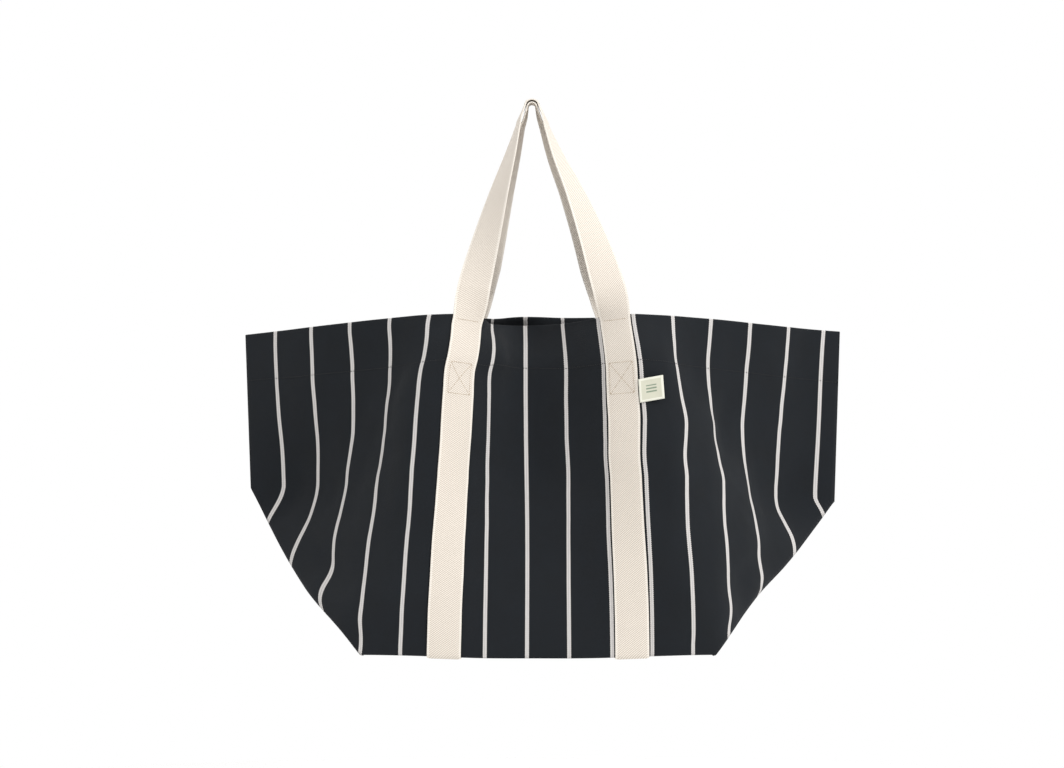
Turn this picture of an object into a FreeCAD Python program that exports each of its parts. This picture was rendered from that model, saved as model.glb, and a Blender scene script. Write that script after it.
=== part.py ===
import FreeCAD, Part
import math
import os

# A soft laundry carrier of striped canvas, hanging from its two webbing handles.
# The origin is the saddle of the hook: the underside of the inner handle's crown.
# +X is to the right of someone who faces the label, +Y goes to the back, +Z is up. Sizes are in mm.

os.makedirs("parts", exist_ok=True)

# ---- cloth ----
BASE_LENGTH = 420.0      # long side of the base
BASE_DEPTH = 390.0       # short side of the base, front edge to back edge when it is spread
SEAM_HEIGHT = 412.0      # rim to base, along the cloth
HEM_DEPTH = 60.0         # turned-in band round the mouth
CLOTH = 1.5              # thickness of the canvas
HEM_CLOTH = 1.5          # thickness of the turned-in layer
FOLD_GAP = 0.4           # clearance between cloth pieces that meet at a fold
EDGE_GAP = 2.0           # clearance between the base's edges and the faces that lean over them
SEAM_LEAN = 3.2          # cloth layers take this many thicknesses where the side halves meet at a point
BAG_SHIFT = 8.0          # the bag hangs this far to the right of the hook

# ---- how the cloth hangs ----
RIM_DROP = 258.0         # hook saddle down to the rim at the straps
CORNER_DROP = 22.0       # side seams hang this much lower than the rim at the straps
MIDDLE_DROP = 9.0        # the rim dips this much between the straps
RIM_HALF = 364.0         # half the width between the side seams at the rim
CREST_DEPTH = 97.0       # the rim's furthest forward point, beside the straps
VALLEY_DEPTH = 30.0      # the rim between the straps, pinched in towards the middle
FOOT_DEPTH = 152.0       # bottom edge, in front of the side seams
FOOT_DROP = 663.0        # hook saddle down to the bottom edge
KNEE_HEIGHT = 216.0      # side seam above the base corner where the side folds under, along the cloth

# ---- webbing ----
WEB_WIDTH = 40.0
WEB = 2.2                # thickness of the webbing
STRAP_CENTRE = 113.0     # centre of each strap from the middle of the bag, along the cloth
CROWN_INNER_R = 3.6      # the inner handle's bend over the hook
CROWN_NEST = 2.9         # free space between the two handles at the sides of the hook
CROWN_LIFT = 2.0         # more space between them over the top
LEG_STEPS = 12           # sections along each leg of a handle
CROWN_STEPS = 10         # sections round the hook
LEG_END = 0.02           # share of the leg's length that the bend over the hook takes
FRONT_BOW = 0.15         # how far a leg of the front handle bows outwards, as a share of its spread
BACK_BOW = 0.02
FOOT_STRAIGHT = 6        # the higher, the shorter the foot that stands in line with its strap
CROWN_START = -10.0      # the bend over the hook starts this many degrees below level on the right
CROWN_TURN = 200.0       # and goes round by this many degrees
TURN_EARLY = 0.7         # below 1, the legs turn mostly in their lower part
HANDLE_GAP = 0.5         # clearance between a handle's foot and the top of its strap

# ---- label and thread ----
LABEL_WIDTH = 30.0
LABEL_HEIGHT = 28.0
LABEL_THICK = 0.8
LABEL_TILT = 10.0        # degrees
LABEL_CLEAR = 2.2        # from the strap's edge to the label's
LABEL_SKEW = 0.4         # the label's sides lean less than its top
LABEL_DOWN = 80.0        # top of the label below the rim
THREAD_WIDTH = 1.2
THREAD = 0.5             # how far a row of stitches stands out
THREAD_GAP = 1.1         # a row clears the twist of the face below it
RIM_ROW = 5.0            # first row of stitches below the rim
HEM_ROW = HEM_DEPTH - 3  # row of stitches that holds the hem
HEM_END = 1.0            # the hem's row stops this short of straps and seams
BOX_WIDTH = 30.0         # box of stitching that holds each strap
BOX_HEIGHT = 36.0
BOX_DOWN = 72.0          # top of the box below the rim
SEAM_WIDTH = 9.0         # bound edge inside each seam
SEAM_THICK = 2.4
SEAM_START = 0.08        # share of the base's slope that the bound edge leaves free at the bottom

STRAP_IN = STRAP_CENTRE - WEB_WIDTH / 2
STRAP_OUT = STRAP_CENTRE + WEB_WIDTH / 2
HALF_LENGTH = BASE_LENGTH / 2
HALF_DEPTH = BASE_DEPTH / 2
SEAM_U = HALF_LENGTH + HALF_DEPTH
SIDE_FOLD_U = HALF_LENGTH + HALF_DEPTH * 0.46   # middle of the side piece, where it turns flatter
CREST_U = STRAP_OUT + 27.0
KNEE_V = SEAM_HEIGHT - KNEE_HEIGHT
SIDE_FOLD_DEPTHS = [CREST_DEPTH * share for share in (0.464, 0.557, 0.454)]   # at the rim, hem and knee
SIDE_SEAM_HALVES = (RIM_HALF, RIM_HALF - 3.0, RIM_HALF - 6.0)
SIDE_LEAN = 0.35         # how far the side's inside is drawn in where it turns, in cloth thicknesses
UNDER_COVER = 1.35       # thickness of the sloping base measured upright, in cloth thicknesses
RIDGE_DROP = FOOT_DROP - math.sqrt(HALF_DEPTH ** 2 - FOOT_DEPTH ** 2)
BASE_RISE = math.hypot(FOOT_DEPTH, FOOT_DROP - RIDGE_DROP) / FOOT_DEPTH   # upright over square thickness
BASE_HALF = HALF_LENGTH - 3.0                   # the base stops short of the sides
RIDGE_HALF = HALF_LENGTH - 45.0                 # the base's fold is drawn in at its ends


# ---- stations across the front face: middle, strap's inner edge, outer edge, crest, base corner's line ----
STATION_US = (0.0, STRAP_IN, STRAP_OUT, CREST_U, HALF_LENGTH)
RIM_PULL = 0.17 * STRAP_OUT             # the pinched rim draws the straps in by this much
RIM_IN = (0.0, RIM_PULL, RIM_PULL + 2, RIM_PULL, 27.0)     # how far each station is drawn in, row by row
HEM_IN = (0.0, 16.0, 18.0, 20.0, 29.0)
MIDDLE_IN = (0.0, 7.0, 12.0, 11.0, 18.0)
LOW_IN = (0.0, 2.0, 4.0, 3.0, 8.0)
FOOT_IN = (0.0, 0.0, 0.0, 0.0, 3.0)
RIM_BACK = (CREST_DEPTH - VALLEY_DEPTH, 19.0, 2.0, 0.0, 19.0)      # depth behind the crest, at the rim
BELLY = (FOOT_DEPTH - CREST_DEPTH) / 55.0                          # scales how the face comes forward below
HEM_FORWARD = (20.0, 2.0, 17.0, 19.0, 0.0)                         # depth in front of the rim's, at the hem
MIDDLE_BACK = (74.0, 44.0, 26.0, 23.0, 50.0)                       # depth behind the bottom edge
LOW_BACK = (40.0, 22.0, 13.0, 11.0, 21.0)
CORNER_SAG = (0.0, 0.0, 0.0, 1.0, 4.0)                             # stations lower than the straps
MIDDLE_SAG = (6.0, 0.0, 0.0, 1.0, 4.0)
LOW_SAG = (2.0, 0.0, 0.0, 0.0, 2.0)
HEM_FALL = 0.96                                                    # height that a length of hem takes up


def station_rows():
    """Rows of the front face: distance down the cloth, then x, depth and drop at each station."""
    low_v = (KNEE_V + SEAM_HEIGHT) / 2
    hem_drop = RIM_DROP + HEM_DEPTH * HEM_FALL
    slope = (FOOT_DROP - hem_drop) / (SEAM_HEIGHT - HEM_DEPTH)
    middle_drop = hem_drop + slope * (KNEE_V - HEM_DEPTH)
    low_drop = hem_drop + slope * (low_v - HEM_DEPTH)
    rim_sag = (MIDDLE_DROP,) + CORNER_SAG[1:]
    rim_depths = [CREST_DEPTH - back for back in RIM_BACK]
    hem_start = [VALLEY_DEPTH] + [CREST_DEPTH] * (len(STATION_US) - 1)
    hem_depths = [start + forward * BELLY for start, forward in zip(hem_start, HEM_FORWARD)]

    def row(v, drawn_in, depths, drop, sag):
        xs = [u - d for u, d in zip(STATION_US, drawn_in)]
        return v, xs, depths, [drop + extra for extra in sag]

    return [
        row(0.0, RIM_IN, rim_depths, RIM_DROP, rim_sag),
        row(HEM_DEPTH, HEM_IN, hem_depths, hem_drop, rim_sag),
        row(KNEE_V, MIDDLE_IN, [FOOT_DEPTH - back * BELLY for back in MIDDLE_BACK], middle_drop, MIDDLE_SAG),
        row(low_v, LOW_IN, [FOOT_DEPTH - back * BELLY for back in LOW_BACK], low_drop, LOW_SAG),
        row(SEAM_HEIGHT, FOOT_IN, [FOOT_DEPTH] * len(STATION_US), FOOT_DROP, [0.0] * len(STATION_US)),
    ]


def face_point(u, v):
    """A point on the outside of the front face: u along the cloth from the middle, v down from the rim."""
    rows = station_rows()
    lower = next((i for i in range(1, len(rows)) if v <= rows[i][0] + 1e-6), len(rows) - 1)
    upper = lower - 1
    part = (v - rows[upper][0]) / (rows[lower][0] - rows[upper][0])
    ends = [row_point(rows[i], abs(u)) for i in (upper, lower)]
    x, depth, drop = [a + (b - a) * part for a, b in zip(*ends)]
    return FreeCAD.Vector(BAG_SHIFT + math.copysign(x, u), -depth, -drop)


def row_point(row, u):
    """x, depth and drop at one place along one row."""
    places = STATION_US
    right = next((i for i in range(1, len(places)) if u <= places[i] + 1e-6), len(places) - 1)
    left = right - 1
    part = (u - places[left]) / (places[right] - places[left])
    return [values[left] + (values[right] - values[left]) * part for values in row[1:4]]


def solid_between(front, behind):
    """A closed solid between two grids of points with the same rows and columns."""
    rows = len(front)
    columns = len(front[0])
    faces = []

    def triangle(a, b, c):
        if (b - a).cross(c - a).Length > 1e-6:
            faces.append(Part.Face(Part.makePolygon([a, b, c, a])))

    def quad(a, b, c, d):
        triangle(a, b, c)
        triangle(a, c, d)

    for i in range(rows - 1):
        for j in range(columns - 1):
            for grid in (front, behind):
                quad(grid[i][j], grid[i][j + 1], grid[i + 1][j + 1], grid[i + 1][j])
    for i in range(rows - 1):
        for j in (0, columns - 1):
            quad(front[i][j], front[i + 1][j], behind[i + 1][j], behind[i][j])
    for j in range(columns - 1):
        for i in (0, rows - 1):
            quad(front[i][j], front[i][j + 1], behind[i][j + 1], behind[i][j])
    return closed(faces)


def closed(faces):
    """One closed solid from flat faces."""
    shape = Part.Solid(Part.Shell(faces))
    if shape.Volume < 0:
        shape.reverse()
    return shape


def moved(grid, x=0.0, y=0.0, z=0.0):
    """The same grid of points, moved."""
    return [[point + FreeCAD.Vector(x, y, z) for point in row] for row in grid]


def on_face(us, vs):
    """A grid of points on the outside of the front face."""
    return [[face_point(u, v) for u in us] for v in vs]


def mirrored(shape, across_point, normal):
    """The same faceted piece on the other side of a plane."""
    solids = []
    for solid in shape.Solids:
        faces = []
        for face in solid.Faces:
            corners = [vertex.Point for vertex in face.OuterWire.OrderedVertexes]
            corners = [p - normal * (2 * (p - across_point).dot(normal)) for p in corners]
            faces.append(Part.Face(Part.makePolygon(corners + corners[:1])))
        solids.append(closed(faces))
    return solids[0] if len(solids) == 1 else Part.makeCompound(solids)


def to_back(shape):
    """The same piece on the back of the bag."""
    return mirrored(shape, FreeCAD.Vector(0, 0, 0), FreeCAD.Vector(0, 1, 0))


def to_left(shape):
    """The same piece on the left of the bag."""
    return mirrored(shape, FreeCAD.Vector(BAG_SHIFT, 0, 0), FreeCAD.Vector(1, 0, 0))


ROWS = [row[0] for row in station_rows()]
STATIONS = [-HALF_LENGTH, -CREST_U, -STRAP_OUT, -STRAP_IN, 0.0, STRAP_IN, STRAP_OUT, CREST_U, HALF_LENGTH]


def front_panel():
    """The front face of the bag, from the rim to the bottom edge."""
    outside = on_face(STATIONS, ROWS)
    return solid_between(outside, moved(outside, y=CLOTH))


def front_hem():
    """The turned-in band behind the front rim."""
    outside = moved(on_face(STATIONS, ROWS[:2]), y=CLOTH)
    return solid_between(outside, moved(outside, y=HEM_CLOTH))


def front_strap(us):
    """Webbing sewn on the front between two lines, from the rim to the bottom edge."""
    back = on_face(us, ROWS)
    return solid_between(moved(back, y=-WEB), back)


# ---- sides ----
def side_rows():
    """Rows of one side piece: base corner's line, flatter fold and side seam, as points on the right."""
    fold_part = (SIDE_FOLD_U - HALF_LENGTH) / HALF_DEPTH
    rows = []
    for v, fold_depth, seam_x in zip((0.0, HEM_DEPTH, KNEE_V), SIDE_FOLD_DEPTHS, SIDE_SEAM_HALVES):
        seam_drop = RIM_DROP + CORNER_DROP + v
        corner = face_point(HALF_LENGTH, v) + FreeCAD.Vector(2 * FOLD_GAP, 0, 0)
        seam = FreeCAD.Vector(BAG_SHIFT + seam_x, 0, -seam_drop)
        fold_x = corner.x + (seam.x - corner.x) * fold_part
        fold_z = corner.z + (seam.z - corner.z) * fold_part
        rows.append([corner, FreeCAD.Vector(fold_x, -fold_depth, fold_z), seam])
    return rows


def crease_points():
    """The crease where the side folds under, from the base corner up to the knee at the side seam."""
    foot = face_point(HALF_LENGTH, SEAM_HEIGHT) + FreeCAD.Vector(2 * FOLD_GAP, 0, 0)
    knee = side_rows()[-1][2]
    part = (SIDE_FOLD_U - HALF_LENGTH) / HALF_DEPTH
    fold = foot + (knee - foot) * part
    return foot, fold, knee


def side_grid(rows, inward):
    """Front half and back half of a side as one grid, set in from the outside by a distance."""
    lean = inward * SEAM_LEAN
    grid = []
    for corner, fold, seam in rows:
        front = [corner + FreeCAD.Vector(0, inward, 0), fold + FreeCAD.Vector(-inward * SIDE_LEAN, inward, 0)]
        middle = [seam + FreeCAD.Vector(-lean, 0, 0)]
        back = [FreeCAD.Vector(p.x, -p.y, p.z) for p in reversed(front)]
        grid.append(front + middle + back)
    return grid


def side_piece():
    """The side of the bag, both halves and the seam between them, down to the crease."""
    rows = side_rows()
    foot, fold, knee = crease_points()
    knee_row = rows[-1]
    lowest = [foot, fold, knee + FreeCAD.Vector(0, 0, -FOLD_GAP)]
    halfway = face_point(HALF_LENGTH, (KNEE_V + SEAM_HEIGHT) / 2) + FreeCAD.Vector(2 * FOLD_GAP, 0, 0)
    middle = [halfway, knee_row[1] + (fold - knee_row[1]) * 0.5, knee + FreeCAD.Vector(0, 0, -FOLD_GAP / 2)]
    rows = rows + [middle, lowest]
    return solid_between(side_grid(rows, 0.0), side_grid(rows, CLOTH))


def side_hem():
    """The turned-in band behind the rim at one side."""
    rows = side_rows()[:2]
    return solid_between(side_grid(rows, CLOTH), side_grid(rows, CLOTH + HEM_CLOTH))


def side_seam():
    """The bound edges of the side seam, standing into the bag."""
    start = (CLOTH + HEM_CLOTH) * SEAM_LEAN + SEAM_THICK * 2
    top = side_rows()[0][2] + FreeCAD.Vector(-start, 0, -2)
    knee = side_rows()[2][2] + FreeCAD.Vector(-start, 0, 0)
    near = [[top, top + FreeCAD.Vector(-SEAM_WIDTH, 0, 0)], [knee, knee + FreeCAD.Vector(-SEAM_WIDTH, 0, 0)]]
    return solid_between(moved(near, y=-SEAM_THICK / 2), moved(near, y=SEAM_THICK / 2))


def side_tuck():
    """The lower corner of a side, folded under the bag and up to the end of the base's ridge."""
    foot, _, knee = crease_points()
    inside = CLOTH + FOLD_GAP
    front = foot + FreeCAD.Vector(-FOLD_GAP, inside, FOLD_GAP)
    back = FreeCAD.Vector(front.x, -front.y, front.z)
    knee = knee + FreeCAD.Vector(-CLOTH * SEAM_LEAN - SEAM_WIDTH / 2, 0, -FOLD_GAP)
    ridge = FreeCAD.Vector(BAG_SHIFT + RIDGE_HALF + FOLD_GAP, 0, -RIDGE_DROP)
    below = [[front, front], [knee, ridge], [back, back]]
    return solid_between(below, moved(below, z=CLOTH * UNDER_COVER))


# ---- base ----
def base_edge():
    """Depth of the base's front edge, just inside the front face's lower end."""
    return FOOT_DEPTH - CLOTH - EDGE_GAP


def base_line(x_edge, x_ridge):
    """Front edge, ridge and back edge of the folded base at one place along it."""
    edge = base_edge()
    return [FreeCAD.Vector(BAG_SHIFT + x_edge, -edge, -FOOT_DROP),
            FreeCAD.Vector(BAG_SHIFT + x_ridge, 0, -RIDGE_DROP),
            FreeCAD.Vector(BAG_SHIFT + x_edge, edge, -FOOT_DROP)]


def base_panel():
    """The base, folded up along its middle into the bag."""
    below = [base_line(-BASE_HALF, -RIDGE_HALF), base_line(BASE_HALF, RIDGE_HALF)]
    return solid_between(below, moved(below, z=CLOTH * BASE_RISE))


def base_strap():
    """Webbing under the base, from the front strap to the back strap, on the right."""
    share = RIDGE_HALF / BASE_HALF
    above = [base_line(STRAP_IN, STRAP_IN * share), base_line(STRAP_OUT, STRAP_OUT * share)]
    return solid_between(moved(above, z=-WEB * BASE_RISE), above)


def base_seam():
    """The bound edges of the seam between the base and a side's folded corner."""
    line = base_line(BASE_HALF, RIDGE_HALF)
    line = [p + (line[1] - p) * SEAM_START for p in line]
    low = [[point + FreeCAD.Vector(0, 0, CLOTH * BASE_RISE + FOLD_GAP) for point in line]]
    low.append([point + FreeCAD.Vector(-SEAM_THICK, 0, 0) for point in low[0]])
    return solid_between(low, moved(low, z=SEAM_WIDTH))


# ---- handles ----
def leg_section(drop, turned, crown_r, centre_z, bow):
    """Outer and inner corners of a handle's right leg, at a share of the way from hook to rim."""
    foot_in = face_point(STRAP_IN, 0)
    foot_out = face_point(STRAP_OUT, 0)
    foot = (foot_in + foot_out) * 0.5 + FreeCAD.Vector(0, -WEB / 2, HANDLE_GAP)
    foot_turn = math.atan2(foot_out.y - foot_in.y, foot_out.x - foot_in.x)
    spread = drop + bow * drop * (1 - drop)
    half = crown_r + (foot.x - BAG_SHIFT - crown_r) * spread
    centre = FreeCAD.Vector(half + BAG_SHIFT * drop, foot.y * drop, centre_z + (foot.z - centre_z) * drop)
    up = FreeCAD.Vector(crown_r - foot.x, -foot.y, centre_z - foot.z).normalize()
    upright = FreeCAD.Vector(0, 0, 1)
    up = (up + (upright - up) * drop ** FOOT_STRAIGHT).normalize()
    turn = foot_turn + (math.pi / 2 - foot_turn) * turned
    return section(centre, up, FreeCAD.Vector(math.cos(turn), math.sin(turn), 0))


def section(centre, along, width):
    """Two corners on the outer face and two on the inner face of a webbing section."""
    width = (width - along * width.dot(along)).normalize() * (WEB_WIDTH / 2)
    inward = along.cross(width).normalize() * (WEB / 2)
    return [centre - width - inward, centre + width - inward], [centre - width + inward, centre + width + inward]


def handle(crown_inner_r, centre_z, bow):
    """One handle: up from the right strap, a quarter turn, over the hook, and down to the left strap."""
    crown_r = crown_inner_r + WEB / 2
    sections = []
    for step in range(LEG_STEPS + 1):
        drop = 1 - step / LEG_STEPS * (1 - LEG_END)
        turned = (1 - drop) ** TURN_EARLY
        sections.append(leg_section(drop, turned, crown_r, centre_z, bow))
    for step in range(1, CROWN_STEPS):
        angle = math.radians(CROWN_START + CROWN_TURN * step / CROWN_STEPS)
        out = FreeCAD.Vector(math.cos(angle), 0, math.sin(angle))
        centre = FreeCAD.Vector(0, 0, centre_z) + out * crown_r
        sections.append(section(centre, FreeCAD.Vector(-out.z, 0, out.x), FreeCAD.Vector(0, 1, 0)))
    for step in range(LEG_STEPS, -1, -1):
        outer, inner = sections[step]
        share = 1 - step / LEG_STEPS * (1 - LEG_END)
        sections.append([[FreeCAD.Vector(2 * BAG_SHIFT * share - p.x, p.y, p.z) for p in side]
                         for side in (outer, inner)])
    return solid_between([outer for outer, _ in sections], [inner for _, inner in sections])


def front_handle():
    """The handle of the front, which lies over the other one on the hook."""
    radius = CROWN_INNER_R + WEB + CROWN_NEST
    return handle(radius, -CROWN_INNER_R + CROWN_LIFT, FRONT_BOW)


def back_handle():
    """The handle of the back, which lies on the hook itself."""
    return to_back(handle(CROWN_INNER_R, -CROWN_INNER_R, BACK_BOW))


# ---- label and stitches ----
def label():
    """The woven label beside the right strap, held by its left edge."""
    left = face_point(STRAP_OUT, LABEL_DOWN)
    right = face_point(CREST_U, LABEL_DOWN)
    low = LABEL_DOWN + LABEL_HEIGHT
    out = min(left.y, right.y, face_point(STRAP_OUT, low).y, face_point(CREST_U, low).y) - FOLD_GAP - LABEL_THICK
    tilt = math.radians(LABEL_TILT)
    start = FreeCAD.Vector(left.x + LABEL_CLEAR, out, left.z)
    across_it = FreeCAD.Vector(math.cos(tilt), 0, math.sin(tilt)) * LABEL_WIDTH
    down_it = FreeCAD.Vector(math.sin(tilt) * LABEL_SKEW, 0, -1) * LABEL_HEIGHT
    outside = [[start, start + across_it], [start + down_it, start + across_it + down_it]]
    return solid_between(outside, moved(outside, y=LABEL_THICK))


def stitch_line(us, vs, lift):
    """A row of stitches through the given places, standing out of the face by a lift."""
    width = THREAD_WIDTH / 2
    if vs[0] == vs[-1]:
        rows = [[face_point(u, vs[0] - width) for u in us], [face_point(u, vs[0] + width) for u in us]]
    else:
        rows = [[face_point(us[0] - width, v) for v in vs], [face_point(us[0] + width, v) for v in vs]]
    outer = moved(rows, y=-lift - THREAD_GAP - THREAD)
    return solid_between(outer, moved(rows, y=-lift - THREAD_GAP))


def strap_stitches():
    """The rows across each strap at the rim and at the hem, and the box below it, on both straps."""
    half = BOX_WIDTH / 2
    left, right = STRAP_CENTRE - half, STRAP_CENTRE + half
    bottom = BOX_DOWN + BOX_HEIGHT
    rows = [stitch_line([left, right], [v, v], WEB) for v in (RIM_ROW, HEM_ROW, BOX_DOWN, bottom)]
    inset = THREAD_WIDTH
    ends = [BOX_DOWN + inset, bottom - inset]
    rows += [stitch_line([u], ends, WEB) for u in (left, right)]
    rows += [stitch_line([-right, -left], [v, v], WEB) for v in (RIM_ROW, HEM_ROW, BOX_DOWN, bottom)]
    rows += [stitch_line([-u], ends, WEB) for u in (left, right)]
    return Part.makeCompound(rows)


def hem_stitches():
    """The row of stitches that holds the hem of the front face."""
    v = HEM_DEPTH - 3
    clear = HEM_END
    right = stitch_line([STRAP_OUT + clear, CREST_U, HALF_LENGTH - clear], [v] * 3, 0.0)
    middle = stitch_line([-STRAP_IN + clear, 0.0, STRAP_IN - clear], [v] * 3, 0.0)
    left = stitch_line([clear - HALF_LENGTH, -CREST_U, -STRAP_OUT - clear], [v] * 3, 0.0)
    return Part.makeCompound([right, middle, left])


NODES = {
    "front_panel": front_panel(),
    "front_hem": front_hem(),
    "front_strap_right": front_strap([STRAP_IN, STRAP_OUT]),
    "front_strap_left": front_strap([-STRAP_OUT, -STRAP_IN]),
    "front_strap_stitches": strap_stitches(),
    "front_hem_stitches": hem_stitches(),
    "back_panel": to_back(front_panel()),
    "back_hem": to_back(front_hem()),
    "back_strap_right": to_back(front_strap([STRAP_IN, STRAP_OUT])),
    "back_strap_left": to_back(front_strap([-STRAP_OUT, -STRAP_IN])),
    "back_strap_stitches": to_back(strap_stitches()),
    "back_hem_stitches": to_back(hem_stitches()),
    "side_right": side_piece(),
    "side_left": to_left(side_piece()),
    "side_hem_right": side_hem(),
    "side_hem_left": to_left(side_hem()),
    "side_tuck_right": side_tuck(),
    "side_tuck_left": to_left(side_tuck()),
    "side_seam_right": side_seam(),
    "side_seam_left": to_left(side_seam()),
    "base_panel": base_panel(),
    "base_seam_right": base_seam(),
    "base_seam_left": to_left(base_seam()),
    "base_strap_right": base_strap(),
    "base_strap_left": to_left(base_strap()),
    "front_handle": front_handle(),
    "back_handle": back_handle(),
    "woven_label": label(),
}

for node, shape in NODES.items():
    shape.exportStep("parts/" + node + ".step")
    print(node, "valid", shape.isValid(), "volume", round(shape.Volume, 1), "mm3")
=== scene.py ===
# %% [markdown]
# # A striped canvas laundry carrier
# The bag hangs from its two webbing handles. Striped canvas runs down the front, under the base and up
# the back, and is closed by a seam at each side. Here it is made as two lengths that meet at the fold of
# the base. The base folds up into the bag and the lower corners fold in, so the same cloth makes soft
# faces, a sharp crease and a hidden tuck.
# Everything below is placed in metres in the frame that the design gives: the origin is where the
# handles lie on the hook, +X is to the right, +Y is to the back and +Z is up.

# %% Load the frame
import math

import bpy
import numpy as np
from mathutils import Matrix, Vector, noise


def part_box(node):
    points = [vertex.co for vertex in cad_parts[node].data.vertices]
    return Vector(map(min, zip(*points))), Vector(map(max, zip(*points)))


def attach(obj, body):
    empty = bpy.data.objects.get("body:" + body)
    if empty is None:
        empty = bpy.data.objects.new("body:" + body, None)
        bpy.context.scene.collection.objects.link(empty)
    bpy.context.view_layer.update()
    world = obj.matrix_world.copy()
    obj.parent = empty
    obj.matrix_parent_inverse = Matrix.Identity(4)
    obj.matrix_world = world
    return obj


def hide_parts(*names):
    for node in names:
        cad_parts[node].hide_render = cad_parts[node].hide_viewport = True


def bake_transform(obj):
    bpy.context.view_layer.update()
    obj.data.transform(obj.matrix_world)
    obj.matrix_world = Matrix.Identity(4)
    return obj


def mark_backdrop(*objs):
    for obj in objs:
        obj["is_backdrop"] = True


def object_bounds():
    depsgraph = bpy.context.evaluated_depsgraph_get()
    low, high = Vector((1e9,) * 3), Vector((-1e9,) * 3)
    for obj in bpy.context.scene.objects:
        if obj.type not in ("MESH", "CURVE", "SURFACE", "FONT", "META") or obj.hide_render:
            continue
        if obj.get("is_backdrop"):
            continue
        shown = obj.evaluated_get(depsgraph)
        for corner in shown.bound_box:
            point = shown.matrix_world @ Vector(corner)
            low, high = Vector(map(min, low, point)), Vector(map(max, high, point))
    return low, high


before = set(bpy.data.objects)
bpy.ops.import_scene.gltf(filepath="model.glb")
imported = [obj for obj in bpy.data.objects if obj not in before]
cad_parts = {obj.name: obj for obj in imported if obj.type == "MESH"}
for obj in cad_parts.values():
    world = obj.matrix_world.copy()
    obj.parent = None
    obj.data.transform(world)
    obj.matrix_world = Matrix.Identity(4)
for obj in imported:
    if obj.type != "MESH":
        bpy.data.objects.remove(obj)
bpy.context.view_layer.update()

# %% [markdown]
# ## Sizes
# The canvas is thought of flat first, as a pattern. `u` runs across it from the middle of the bag and
# `v` runs down it from the rim. A side seam, a strap or a stripe is then one number, and the shape that
# the cloth hangs in is a separate question.

# %% Sizes of the pattern
HALF_LENGTH = 0.210          # middle of the bag to the base corner
HALF_DEPTH = 0.195           # base corner to side seam, and bottom edge to the base's fold
SEAM_U = HALF_LENGTH + HALF_DEPTH
HEIGHT = 0.412               # rim to bottom edge
HEM = 0.060
CANVAS = 0.0012              # thickness of the cloth
KNEE_V = 0.196               # where the side seam meets the crease
WEB_WIDTH = 0.040
WEB = 0.0022                 # thickness of the webbing
STRAP_U = {"left": -0.113, "right": 0.111}
STRIPE_PITCH = 0.050
STRIPE_FIRST = -0.014        # the stripe nearest the middle

front_low, front_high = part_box("front_panel")
tuck_low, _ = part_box("side_tuck_right")
MIDDLE_X = (front_low.x + front_high.x) / 2
RIM_Z = front_high.z
FOOT_Z = front_low.z
RIDGE_Z = -0.541             # the fold of the base, which rises into the bag
RIDGE_HALF = tuck_low.x - MIDDLE_X
print("rim at", round(RIM_Z, 3), "bottom edge at", round(FOOT_Z, 3), "ridge end at", round(RIDGE_HALF, 3))

# %% [markdown]
# ## How the canvas hangs
# Cloth bends but hardly stretches, so its shape is decided by how far forward each place stands. The
# rows below give that depth in millimetres, from the left side seam to the right one. Between the
# straps the mouth is pinched inwards, outside them the faces turn back towards the side seams, and on
# the right a sharper ridge runs from the strap down to the crease. The width that is left over for x
# follows from the depth, because a step along the cloth keeps its length. Stripes then crowd together
# by themselves where the canvas turns away.

# %% Depth of the front at chosen places
PLACES = (-405, -364, -314, -264, -214, -164, -133, -93, -60, -14,
          36, 93, 133, 164, 214, 264, 314, 364, 405)
DEPTHS = {
    0: (0, 18, 42, 63, 78, 96, 96, 79, 53, 24, 48, 78, 96, 90, 70, 50, 32, 10, 0),
    60: (0, 20, 43, 58, 78, 111, 117, 101, 86, 54, 72, 101, 118, 109, 76, 50, 30, 9, 0),
    103: (0, 17, 38, 57, 84, 118, 121, 105, 86, 62, 78, 104, 119, 112, 84, 48, 27, 8, 0),
    187: (0, 3, 28, 61, 96, 126, 128, 110, 92, 76, 90, 112, 129, 130, 108, 70, 33, 7, 0),
    275: (0, 22, 54, 90, 120, 138, 142, 130, 119, 110, 116, 130, 141, 141, 127, 98, 60, 24, 0),
    345: (0, 26, 62, 108, 138, 149, 150, 144, 138, 132, 136, 144, 149, 150, 142, 106, 60, 26, 0),
    412: (0, 60, 100, 135, 152, 153, 153, 152, 149, 146, 149, 152, 153, 153, 152, 135, 100, 60, 0),
}
# How far the rim dips below its highest place, in millimetres.
RIM_DROPS = (24, 20, 15, 10, 5, 1, 0, 5, 12, 13, 11, 4, 0, 1, 4, 8, 13, 17, 20)


def smooth_through(places, values, at):
    """A curve through given values that never overshoots them."""
    places = np.asarray(places, float)
    values = np.asarray(values, float)
    step = np.diff(places)
    rise = np.diff(values, axis=0) / step.reshape((-1,) + (1,) * (values.ndim - 1))
    lean = np.zeros_like(values)
    same = rise[1:] * rise[:-1] > 0
    both = np.where(same, 2 * rise[1:] * rise[:-1] / np.where(same, rise[1:] + rise[:-1], 1), 0)
    lean[1:-1] = both
    lean[0], lean[-1] = rise[0], rise[-1]
    index = np.clip(np.searchsorted(places, at, side="right") - 1, 0, len(step) - 1)
    t = (at - places[index]) / step[index]
    shape = (-1,) + (1,) * (values.ndim - 1)
    t, h = t.reshape(shape), step[index].reshape(shape)
    return ((1 + 2 * t) * (1 - t) ** 2 * values[index] + t * (1 - t) ** 2 * h * lean[index]
            + t * t * (3 - 2 * t) * values[index + 1] + t * t * (t - 1) * h * lean[index + 1])


print("hanging shape from", len(PLACES), "places on", len(DEPTHS), "rows")

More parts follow.
